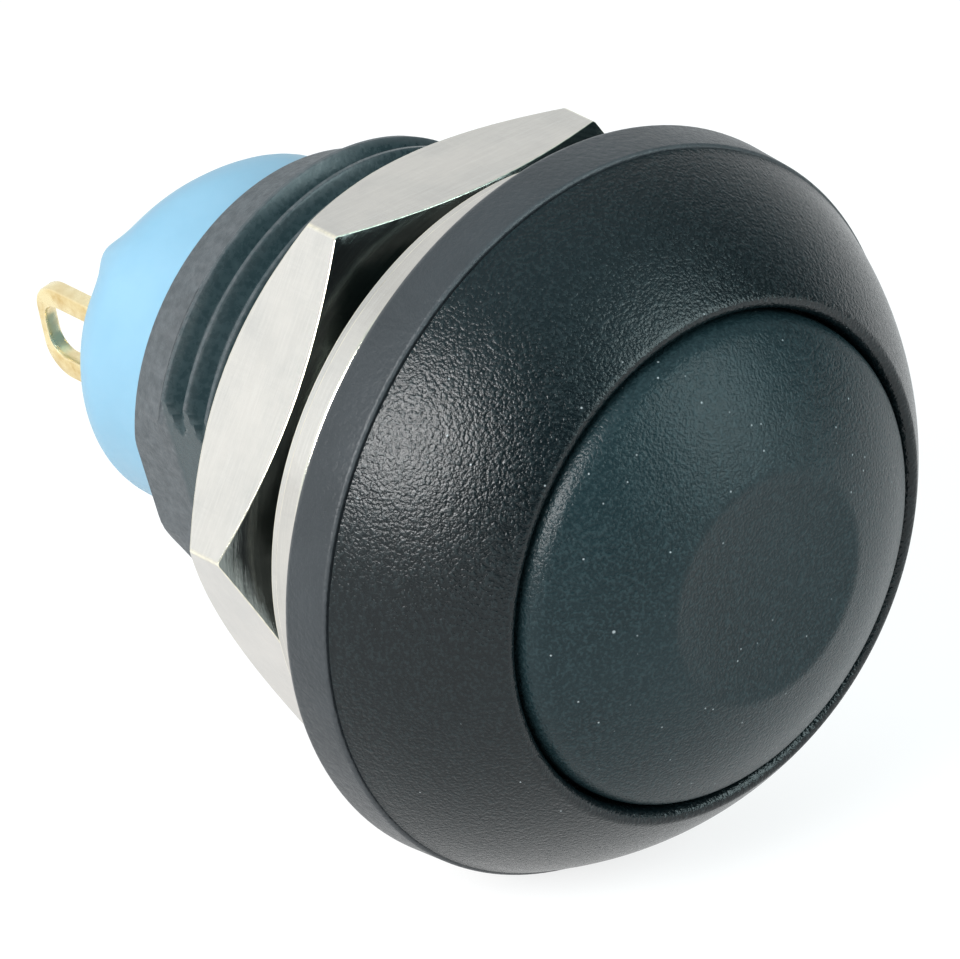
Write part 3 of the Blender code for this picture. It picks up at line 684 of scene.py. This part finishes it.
def blade_mesh(name):
    """A stamped blade with softened edges, its solder eye, and its foot under the fixed contact."""
    half = LUG_WIDTH / 2.0
    edge = plate_loop([(FOOT_FRONT, -half, FOOT_CORNER), (LUG_TIP, -half, LUG_CORNER),
                       (LUG_TIP, half, LUG_CORNER), (FOOT_FRONT, half, FOOT_CORNER)], 10)
    eye_middle = LUG_TIP - EYE_MARGIN - EYE_LENGTH / 2.0
    eye = rectangle_loop(eye_middle, EYE_LENGTH / 2.0, EYE_WIDTH / 2.0, EYE_CORNER, 8)
    low = LUG_OFFSET - SHEET_THICKNESS / 2.0
    high = LUG_OFFSET + SHEET_THICKNESS / 2.0
    partway = LUG_BEVEL * LUG_BEVEL_MIDDLE
    bm = bmesh.new()
    worn = bm.verts.layers.float.new("worn")
    caps = {low: [], high: []}
    for loop, into_metal in ((edge, 1.0), (eye, -1.0)):
        turn = into_metal * (1.0 if loop_area(loop) > 0.0 else -1.0)
        inner = offset_loop(loop, LUG_BEVEL * turn)
        middle = offset_loop(loop, partway * turn)
        rings = [plate_ring(bm, inner, low), plate_ring(bm, middle, low + partway),
                 plate_ring(bm, loop, low + LUG_BEVEL), plate_ring(bm, loop, high - LUG_BEVEL),
                 plate_ring(bm, middle, high - partway), plate_ring(bm, inner, high)]
        for ring in rings[1:-1]:
            for vert in ring:
                vert[worn] = 1.0
        for ring, following in zip(rings, rings[1:]):
            for index in range(len(ring)):
                bm.faces.new((ring[index - 1], ring[index], following[index], following[index - 1]))
        for side, ring in ((low, rings[0]), (high, rings[-1])):
            caps[side] += [bm.edges.get((ring[index - 1], ring[index])) for index in range(len(ring))]
    for edges in caps.values():
        bmesh.ops.triangle_fill(bm, edges=edges, use_beauty=True)
    mesh = closed_mesh(bm, name)

    foot = bmesh.new()
    bmesh.ops.create_cube(foot, size=1.0)
    start = Vector((high - FOOT_OVERLAP, FOOT_FRONT, -FOOT_WIDTH / 2.0)) * MM
    end = Vector((FOOT_REACH, FOOT_FRONT + SHEET_THICKNESS, FOOT_WIDTH / 2.0)) * MM
    size = end - start
    bmesh.ops.transform(foot, matrix=Matrix.Translation((start + end) / 2.0) @ Matrix.Diagonal((*size, 1.0)),
                        verts=foot.verts)
    foot_mesh = bpy.data.meshes.new(name + "_foot")
    foot.to_mesh(foot_mesh)
    foot.free()
    blade = bpy.data.objects.new(name, mesh)
    helper = bpy.data.objects.new(name + "_foot", foot_mesh)
    for item in (blade, helper):
        bpy.context.scene.collection.objects.link(item)
    union = blade.modifiers.new("foot", 'BOOLEAN')
    union.operation = 'UNION'
    union.object = helper
    depsgraph = bpy.context.evaluated_depsgraph_get()
    joined = bpy.data.meshes.new_from_object(blade.evaluated_get(depsgraph))
    bpy.data.objects.remove(blade)
    bpy.data.objects.remove(helper)
    return joined


# ---------------------------------------------------------------- finishes

class Finish:
    """A Principled material whose inputs are driven by textures in the piece's own millimetres."""

    def __init__(self, name, colour, roughness, metallic=0.0):
        self.material = bpy.data.materials.new(name)
        self.material.use_nodes = True
        self.tree = self.material.node_tree
        self.shader = self.tree.nodes["Principled BSDF"]
        self.set(self.shader, {"Base Color": (*colour, 1.0), "Roughness": roughness, "Metallic": metallic})
        place = self.tree.nodes.new("ShaderNodeTexCoord")
        self.place = self.node("ShaderNodeVectorMath", {"operation": 'SCALE'},
                               {0: place.outputs["Object"], "Scale": 1.0 / MM}).outputs["Vector"]

    def set(self, made, inputs):
        """Set or link a node's inputs."""
        for key, value in inputs.items():
            socket = made.inputs[key]
            if isinstance(value, bpy.types.NodeSocket):
                self.tree.links.new(value, socket)
            else:
                socket.default_value = value

    def node(self, kind, settings=None, inputs=None):
        """Add a node with its settings and inputs."""
        made = self.tree.nodes.new(kind)
        for key, value in (settings or {}).items():
            setattr(made, key, value)
        self.set(made, inputs or {})
        return made

    def stretched(self, scale):
        """The place scaled differently along each axis."""
        made = self.node("ShaderNodeVectorMath", {"operation": 'MULTIPLY'}, {0: self.place, 1: scale})
        return made.outputs[0]

    def noise(self, scale, detail=3.0, roughness=0.55, distortion=0.0, place=None):
        """A noise texture's value; scale is in cycles per millimetre."""
        return self.node("ShaderNodeTexNoise", None, {
            "Vector": place or self.place, "Scale": scale, "Detail": detail, "Roughness": roughness,
            "Distortion": distortion}).outputs["Fac"]

    def cells(self, scale, feature='F1', output="Distance", place=None):
        """A cell texture; scale is in cells per millimetre."""
        return self.node("ShaderNodeTexVoronoi", {"feature": feature}, {
            "Vector": place or self.place, "Scale": scale}).outputs[output]

    def maths(self, operation, first, second=0.0, third=0.0):
        """A maths node on one to three values."""
        made = self.node("ShaderNodeMath", {"operation": operation}, {0: first, 1: second, 2: third})
        return made.outputs[0]

    def times(self, first, second):
        """One value times another."""
        return self.maths('MULTIPLY', first, second)

    def span(self, value, low, high, to_low=0.0, to_high=1.0, kind='LINEAR'):
        """Map a value's span to another, clamped."""
        return self.node("ShaderNodeMapRange", {"interpolation_type": kind}, {
            "Value": value, "From Min": low, "From Max": high, "To Min": to_low, "To Max": to_high,
        }).outputs["Result"]

    def mixed(self, share, first, second, blend='MIX'):
        """Mix two colours by a share."""
        made = self.node("ShaderNodeMix", {"data_type": 'RGBA', "blend_type": blend})
        sockets = [item for item in made.inputs if item.type == 'RGBA']
        self.set(made, {0: share})
        for socket, value in zip(sockets, (first, second)):
            if isinstance(value, bpy.types.NodeSocket):
                self.tree.links.new(value, socket)
            else:
                socket.default_value = (*value, 1.0)
        return [item for item in made.outputs if item.type == 'RGBA'][0]

    def attribute(self, name):
        """A value stored on the mesh's points."""
        return self.node("ShaderNodeAttribute", {"attribute_name": name}).outputs["Fac"]

    def bump(self, height, distance, below=None, strength=1.0):
        """A bump from a height whose full step is the distance in millimetres."""
        inputs = {"Height": height, "Distance": distance * MM, "Strength": strength}
        if below is not None:
            inputs["Normal"] = below
        return self.node("ShaderNodeBump", None, inputs).outputs["Normal"]

    def specks(self, scale, share, size):
        """Small scattered marks: 1 inside them, 0 elsewhere."""
        near = self.cells(scale)
        pick = self.cells(scale, output="Color")
        chosen = self.maths('LESS_THAN', pick, share)
        spot = self.span(near, size, size * 0.45)
        return self.times(spot, chosen)

    def dust(self, large, small):
        """Larger and smaller dust, each a share of its cells."""
        return self.maths('MAXIMUM', self.specks(4.0, large, 0.20), self.specks(8.0, small, 0.26))

    def depth(self):
        """Distance along the button's axis, in millimetres."""
        return self.node("ShaderNodeSeparateXYZ", None, {0: self.place}).outputs["Y"]

    def finish(self, **inputs):
        """Link the last inputs of the shader and return the material."""
        names = {"colour": "Base Color", "roughness": "Roughness", "normal": "Normal"}
        self.set(self.shader, {names[key]: value for key, value in inputs.items()})
        return self.material


def moulded(name, colour, light, roughness, specular, grain, height, dust):
    """Spark-eroded moulded plastic: fine pebbled grain, paler worn edges and a little dust."""
    made = Finish(name, colour, roughness)
    made.set(made.shader, {"Specular IOR Level": specular})
    fine = made.noise(grain, detail=2.0, roughness=0.5)
    pits = made.noise(grain * 0.55, detail=1.0, roughness=0.5)
    pebbles = made.maths('ADD', made.maths('MULTIPLY', fine, 0.7), made.maths('MULTIPLY', pits, 0.3))
    patches = made.noise(0.35, detail=4.0, roughness=0.6)
    worn = made.maths('MULTIPLY', made.attribute("worn"), made.span(made.noise(3.0), 0.35, 0.7, 0.35, 1.0))
    tone = made.mixed(made.span(patches, 0.3, 0.7), tuple(value * 0.8 for value in colour),
                      tuple(value * 1.2 for value in colour))
    tone = made.mixed(made.span(pebbles, 0.48, 0.62), tone, light)
    tone = made.mixed(made.maths('MULTIPLY', worn, 0.35), tone, light)
    tone = made.mixed(made.times(made.dust(dust * 0.6, dust), 0.7), tone, DUST_ON_GRAIN)
    gloss = made.span(pebbles, 0.3, 0.7, roughness - 0.06, roughness + 0.08)
    gloss = made.maths('SUBTRACT', gloss, made.maths('MULTIPLY', worn, 0.05))
    normal = made.bump(pebbles, height)
    normal = made.bump(made.noise(0.8, detail=2.0), 0.006, normal)
    return made.finish(colour=tone, roughness=gloss, normal=normal)


def housing_plastic():
    """Black nylon: a satin rim in front, grainy barrel with paler thread crests behind."""
    colour = (0.030, 0.031, 0.034)
    light = (0.10, 0.104, 0.11)
    made = Finish("black_nylon", colour, 0.42)
    made.set(made.shader, {"Specular IOR Level": 0.38})
    behind = made.span(made.depth(), 0.1, 0.4)
    fine = made.noise(9.0, detail=5.0, roughness=0.62)
    pits = made.cells(6.0, feature='SMOOTH_F1')
    grain = made.maths('ADD', made.maths('MULTIPLY', fine, 0.8), made.maths('MULTIPLY', pits, 0.4))
    rubbed = made.span(made.noise(5.0, detail=4.0), 0.35, 0.65, 0.3, 1.0)
    worn = made.maths('MULTIPLY', made.attribute("worn"), rubbed)
    patches = made.noise(0.4, detail=4.0)
    tone = made.mixed(made.span(patches, 0.3, 0.7), (0.014, 0.018, 0.021), (0.023, 0.028, 0.032))
    thread_tone = made.mixed(made.span(grain, 0.45, 0.85), (0.014, 0.028, 0.032), (0.026, 0.045, 0.050))
    blotches = made.noise(4.0, detail=5.0, roughness=0.7)
    tail_tone = made.mixed(made.span(blotches, 0.4, 0.7), (0.045, 0.053, 0.058), (0.080, 0.090, 0.097))
    tail = made.span(made.depth(), THREAD_CHAMFER_START - 0.2, THREAD_CHAMFER_START)
    rear_tone = made.mixed(tail, thread_tone, tail_tone)
    tone = made.mixed(behind, tone, rear_tone)
    wear_share = made.span(behind, 0.0, 1.0, 0.2, 0.5)
    tone = made.mixed(made.maths('MULTIPLY', worn, wear_share), tone, light)
    tone = made.mixed(made.times(made.dust(0.02, 0.03), 0.7), tone, DUST_ON_RIM)
    gloss = made.span(grain, 0.4, 0.9, 0.33, 0.46)
    gloss = made.maths('SUBTRACT', gloss, made.maths('MULTIPLY', behind, 0.10))
    gloss = made.maths('ADD', gloss, made.maths('MULTIPLY', tail, 0.20))
    step = made.span(behind, 0.0, 1.0, 1.0, 0.15)
    step = made.maths('ADD', step, made.maths('MULTIPLY', tail, 0.6))
    normal = made.bump(made.maths('MULTIPLY', grain, step), 0.034)
    return made.finish(colour=tone, roughness=gloss, normal=normal)


def nickel_plate():
    """Bright nickel: milled flats, turned chamfers with a painted dark reflection, cream edges that are
    partly wear and partly a painted highlight, faint stains, and a washer rear face darkened as painted
    shade.
    """
    made = Finish("nickel_plate", (0.58, 0.565, 0.54), 0.18, metallic=1.0)
    along = made.noise(1.0, detail=5.0, roughness=0.7, place=made.stretched((16.0, 0.9, 16.0)))
    across = made.noise(1.0, detail=5.0, roughness=0.7, place=made.stretched((0.8, 22.0, 0.8)))
    lines = made.maths('ADD', made.maths('MULTIPLY', along, 0.3), made.maths('MULTIPLY', across, 0.7))
    cloud = made.noise(0.6, detail=4.0, roughness=0.6)
    pits = made.specks(3.0, 0.08, 0.10)
    worn = made.attribute("worn")
    turned = made.attribute("turned")
    split = made.node("ShaderNodeSeparateXYZ", None, {0: made.place})
    squares = [made.times(split.outputs[axis], split.outputs[axis]) for axis in "XZ"]
    reach = made.maths('SQRT', made.maths('ADD', *squares))
    swing = made.maths('ARCTAN2', split.outputs["Z"], split.outputs["X"])
    round_place = made.node("ShaderNodeCombineXYZ", None, {
        "X": made.times(reach, 26.0), "Y": made.times(split.outputs["Y"], 10.0),
        "Z": made.times(swing, 2.5)}).outputs[0]
    rings = made.noise(1.0, detail=4.0, roughness=0.7, place=round_place)
    tone = made.mixed(made.span(cloud, 0.35, 0.7), (0.61, 0.582, 0.542), (0.535, 0.518, 0.488))
    tone = made.mixed(made.maths('MULTIPLY', made.span(lines, 0.45, 0.75), 0.42), tone, (0.74, 0.715, 0.675))
    tone = made.mixed(made.maths('MULTIPLY', pits, 0.5), tone, (0.25, 0.23, 0.20))
    # Chamfers: the ring noise gives turning marks, and their dark tone is a painted reflection
    turning_marks_painted_dark = made.mixed(made.span(rings, 0.42, 0.72), (0.17, 0.19, 0.18), (0.28, 0.30, 0.28))
    tone = made.mixed(turned, tone, turning_marks_painted_dark)
    # The washer's rear face is painted dark: painted shade of the narrow gap between washer and nut
    painted_shade = made.mixed(made.span(cloud, 0.35, 0.7), (0.075, 0.077, 0.072), (0.140, 0.140, 0.130))
    tone = made.mixed(made.attribute("painted_shade"), tone, painted_shade)
    # Cream on the rounded edges: partly plating wear, partly a painted highlight
    tone = made.mixed(made.maths('MULTIPLY', worn, made.span(made.noise(4.0), 0.3, 0.6, 0.45, 1.0)), tone,
                      CREAM_WEAR_AND_HIGHLIGHT)
    gloss = made.span(lines, 0.3, 0.7, 0.12, 0.24)
    gloss = made.maths('SUBTRACT', gloss, made.maths('MULTIPLY', turned, 0.05))
    normal = made.bump(lines, 0.0045)
    normal = made.bump(made.noise(1.3, detail=3.0), 0.008, normal)
    return made.finish(colour=tone, roughness=gloss, normal=normal)


def gold_plate():
    """Thin gold plate over brass, with dull stains and paler edges."""
    made = Finish("gold_plate", (0.86, 0.70, 0.36), 0.3, metallic=1.0)
    lines = made.noise(1.0, detail=4.0, roughness=0.65, place=made.stretched((9.0, 1.4, 9.0)))
    stain = made.noise(1.7, detail=5.0, roughness=0.65)
    tone = made.mixed(made.span(stain, 0.40, 0.68), (0.90, 0.76, 0.44), (0.66, 0.47, 0.20))
    tone = made.mixed(made.maths('MULTIPLY', made.attribute("worn"), 0.35), tone, (0.98, 0.88, 0.62))
    gloss = made.span(stain, 0.35, 0.7, 0.22, 0.42)
    normal = made.bump(lines, 0.004)
    return made.finish(colour=tone, roughness=gloss, normal=normal)


def blue_resin():
    """Pale blue cast resin: soft sheen, faint clouds and pin bubbles."""
    made = Finish("blue_resin", (0.29, 0.52, 0.70), 0.42)
    made.set(made.shader, {"Subsurface Weight": 0.2, "Subsurface Scale": 0.0005,
                           "Subsurface Radius": (0.5, 0.9, 1.0)})
    cloud = made.noise(0.5, detail=4.0)
    tone = made.mixed(made.span(cloud, 0.3, 0.7), (0.162, 0.318, 0.428), (0.186, 0.348, 0.462))
    bubbles = made.specks(2.2, 0.05, 0.12)
    tone = made.mixed(made.maths('MULTIPLY', bubbles, 0.35), tone, (0.16, 0.36, 0.52))
    height = made.maths('SUBTRACT', made.noise(1.2, detail=2.0), made.maths('MULTIPLY', bubbles, 0.5))
    gloss = made.span(cloud, 0.3, 0.7, 0.36, 0.5)
    return made.finish(colour=tone, roughness=gloss, normal=made.bump(height, 0.02))


def rubber():
    """Matt black rubber with fine powder."""
    made = Finish("black_rubber", (0.02, 0.02, 0.02), 0.75)
    grain = made.noise(8.0, detail=4.0)
    tone = made.mixed(made.span(grain, 0.35, 0.7), (0.012, 0.012, 0.012), (0.04, 0.04, 0.04))
    gloss = made.span(grain, 0.3, 0.7, 0.65, 0.85)
    return made.finish(colour=tone, roughness=gloss, normal=made.bump(grain, 0.012))


def drawn_metal(name, dark, light, low, high):
    """Drawn or rolled metal: fine lines, light tarnish."""
    made = Finish(name, dark, low, metallic=1.0)
    tarnish = made.noise(2.2, detail=5.0, roughness=0.6)
    lines = made.noise(1.0, detail=4.0, place=made.stretched((14.0, 2.0, 14.0)))
    tone = made.mixed(made.span(tarnish, 0.35, 0.7), light, dark)
    gloss = made.span(lines, 0.3, 0.7, low, high)
    return made.finish(colour=tone, roughness=gloss, normal=made.bump(lines, 0.003))


def plain_moulding(name, dark, light, roughness, grain=7.0):
    """A moulded inner part: even tone, fine grain and flow marks."""
    made = Finish(name, dark, roughness)
    fine = made.noise(grain, detail=4.0)
    flow = made.noise(0.5, detail=3.0, distortion=0.8)
    tone = made.mixed(made.span(made.maths('ADD', fine, flow), 0.7, 1.3), dark, light)
    return made.finish(colour=tone, roughness=made.span(fine, 0.3, 0.7, roughness - 0.05, roughness + 0.1),
                       normal=made.bump(fine, 0.006))


# ---------------------------------------------------------------- the button

nylon = housing_plastic()
dome_finish = moulded("grained_black_nylon", (0.0010, 0.0032, 0.0042), (0.0052, 0.0100, 0.0115),
                      roughness=0.24, specular=0.31, grain=13.0, height=0.034, dust=0.08)
cap_finish = moulded("satin_cap_nylon", (0.0048, 0.0125, 0.0150), (0.0125, 0.0255, 0.0290),
                     roughness=0.31, specular=0.21, grain=14.0, height=0.034, dust=0.10)
nickel = nickel_plate()
gold = gold_plate()
resin = blue_resin()
black_rubber = rubber()
steel = drawn_metal("spring_steel", (0.46, 0.46, 0.47), (0.62, 0.62, 0.63), 0.22, 0.36)
copper = drawn_metal("copper_strip", (0.62, 0.33, 0.20), (0.80, 0.48, 0.32), 0.28, 0.42)
silver = drawn_metal("silver_contact", (0.74, 0.72, 0.68), (0.90, 0.89, 0.86), 0.22, 0.34)
acetal = plain_moulding("white_acetal", (0.74, 0.73, 0.69), (0.84, 0.83, 0.79), 0.38)
inner_nylon = plain_moulding("inner_black_nylon", (0.018, 0.019, 0.020), (0.045, 0.046, 0.048), 0.45)
phenolic = plain_moulding("brown_phenolic", (0.11, 0.06, 0.032), (0.21, 0.125, 0.07), 0.5, grain=4.0)

piece("housing_shell", housing_mesh(), nylon, "housing", "rim_plastic", "threaded_body")
piece("dome_ring", dome_mesh(), dome_finish, "housing", "dome_plastic", "bezel_dome")
piece("press_cap", cap_mesh(), cap_finish, "plunger", "cap_plastic", "button_cap")
piece("hexagon_nut", nut_mesh(), nickel, "nut", "nickel_plate", "hex_nut")
piece("plated_washer", washer_mesh(), nickel, "washer", "nickel_plate", "flat_washer")
piece("rubber_gasket", gasket_mesh(), black_rubber, "housing", "rubber", "panel_gasket")
piece("resin_plug", resin_mesh(), resin, "housing", "blue_resin", "potting_plug")
for suffix, half_turn in (("left", 0.0), ("right", math.pi)):
    lug = blade_mesh("lug_" + suffix)
    lug.transform(Matrix.Rotation(-TERMINAL_ANGLE - half_turn, 4, 'Y'))
    piece("lug_" + suffix, lug, gold, "housing", "gold_plate", "terminal_" + suffix)

return_wire = tube("return_coil", coil_path(*RETURN_SPRING), RETURN_SPRING[1])
return_coil = piece("return_coil", return_wire, steel, "housing", "spring_steel", "return_spring")
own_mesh(return_coil)
contact_wire = tube("contact_coil", coil_path(*CONTACT_SPRING), CONTACT_SPRING[1])
contact_coil = piece("contact_coil", contact_wire, steel, "moving_contact", "spring_steel", "contact_spring")
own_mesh(contact_coil)

for node_name, material in (
        ("plunger_stem", acetal), ("stem_seal", black_rubber), ("seal_retainer", inner_nylon),
        ("stem_clip", steel), ("contact_bridge", copper), ("bridge_pad_left", silver),
        ("bridge_pad_right", silver), ("fixed_pad_left", silver), ("fixed_pad_right", silver),
        ("terminal_base", phenolic)):
    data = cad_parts[node_name].data
    data.materials.clear()
    data.materials.append(material)


# ---------------------------------------------------------------- floor, light and camera

def area_light(name, direction, width, height, power, colour=(1.0, 1.0, 1.0)):
    """A soft box that faces the button from a direction."""
    data = bpy.data.lights.new(name, 'AREA')
    data.shape = 'RECTANGLE'
    data.size = width
    data.size_y = height
    data.energy = power
    data.color = colour
    lamp = bpy.data.objects.new(name, data)
    towards = Vector(direction).normalized()
    lamp.location = towards * LIGHT_DISTANCE
    lamp.rotation_euler = towards.to_track_quat('Z', 'Y').to_euler()
    bpy.context.scene.collection.objects.link(lamp)


def pale_floor():
    """A wide white table under the button, lit enough to stay pale."""
    level = -HEAD_RADIUS * MM
    corners = [(x * FLOOR_HALF, y * FLOOR_HALF, level) for x, y in ((-1, -1), (1, -1), (1, 1), (-1, 1))]
    mesh = bpy.data.meshes.new("floor")
    mesh.from_pydata(corners, [], [(0, 1, 2, 3)])
    made = Finish("white_table", (FLOOR_TONE, FLOOR_TONE, FLOOR_TONE), 0.9)
    made.set(made.shader, {"Emission Color": (1.0, 1.0, 1.0, 1.0), "Emission Strength": FLOOR_GLOW,
                           "Specular IOR Level": 0.1})
    mesh.materials.append(made.material)
    floor = bpy.data.objects.new("floor", mesh)
    bpy.context.scene.collection.objects.link(floor)


def studio_world():
    """A pale studio: dim and teal in front of the button, brighter and neutral behind and above."""
    world = bpy.data.worlds.new("studio")
    world.use_nodes = True
    tree = world.node_tree
    background = tree.nodes["Background"]
    place = tree.nodes.new("ShaderNodeTexCoord")
    split = tree.nodes.new("ShaderNodeSeparateXYZ")
    tree.links.new(place.outputs["Generated"], split.inputs[0])

    def shade(value, low, high, dim, bright):
        """Map a value's span to a brightness."""
        made = tree.nodes.new("ShaderNodeMapRange")
        for key, number in (("From Min", low), ("From Max", high), ("To Min", dim), ("To Max", bright)):
            made.inputs[key].default_value = number
        tree.links.new(value, made.inputs["Value"])
        return made.outputs["Result"]

    def combined(operation, first, second):
        """A maths node on two values."""
        made = tree.nodes.new("ShaderNodeMath")
        made.operation = operation
        tree.links.new(first, made.inputs[0])
        tree.links.new(second, made.inputs[1])
        return made.outputs[0]

    behind, above = (shade(split.outputs[axis], *levels) for axis, *levels in STUDIO_SHADES)
    towards = tree.nodes.new("ShaderNodeVectorMath")
    towards.operation = 'DOT_PRODUCT'
    towards.inputs[1].default_value = Vector(STUDIO_PATCH_TOWARDS).normalized()
    tree.links.new(place.outputs["Generated"], towards.inputs[0])
    patch = shade(towards.outputs["Value"], *STUDIO_PATCH)
    strength = combined('ADD', combined('MAXIMUM', behind, above), patch)
    tree.links.new(strength, background.inputs["Strength"])
    tint = tree.nodes.new("ShaderNodeMix")
    tint.data_type = 'RGBA'
    ends = [item for item in tint.inputs if item.type == 'RGBA']
    ends[0].default_value = STUDIO_FRONT_TINT
    ends[1].default_value = STUDIO_BACK_TINT
    tree.links.new(behind, tint.inputs[0])
    tree.links.new([item for item in tint.outputs if item.type == 'RGBA'][0], background.inputs["Color"])
    bpy.context.scene.world = world


def studio_camera():
    """A long lens, from the front left and above."""
    azimuth = math.radians(CAMERA_AZIMUTH)
    elevation = math.radians(CAMERA_ELEVATION)
    back = Vector((math.sin(azimuth) * math.cos(elevation), -math.cos(azimuth) * math.cos(elevation),
                   math.sin(elevation)))
    right = Vector((math.cos(azimuth), math.sin(azimuth), 0.0))
    up = back.cross(right)
    place = (back * CAMERA_DISTANCE + right * CAMERA_RIGHT + up * CAMERA_UP) * MM
    data = bpy.data.cameras.new("camera")
    data.lens = CAMERA_LENS
    data.sensor_width = CAMERA_SENSOR
    data.sensor_fit = 'HORIZONTAL'
    data.clip_start = 0.01
    camera = bpy.data.objects.new("camera", data)
    bpy.context.scene.collection.objects.link(camera)
    camera.matrix_world = Matrix((
        (right.x, up.x, back.x, place.x), (right.y, up.y, back.y, place.y),
        (right.z, up.z, back.z, place.z), (0.0, 0.0, 0.0, 1.0)))
    bpy.context.scene.camera = camera


pale_floor()
studio_world()
area_light("left_box", (-0.85, -0.22, 0.48), width=0.075, height=0.080, power=0.40)
area_light("front_box", (0.40, -0.81, 0.43), width=0.080, height=0.12, power=0.21, colour=(0.78, 0.98, 1.0))
studio_camera()
bpy.context.scene.view_settings.view_transform = 'Standard'
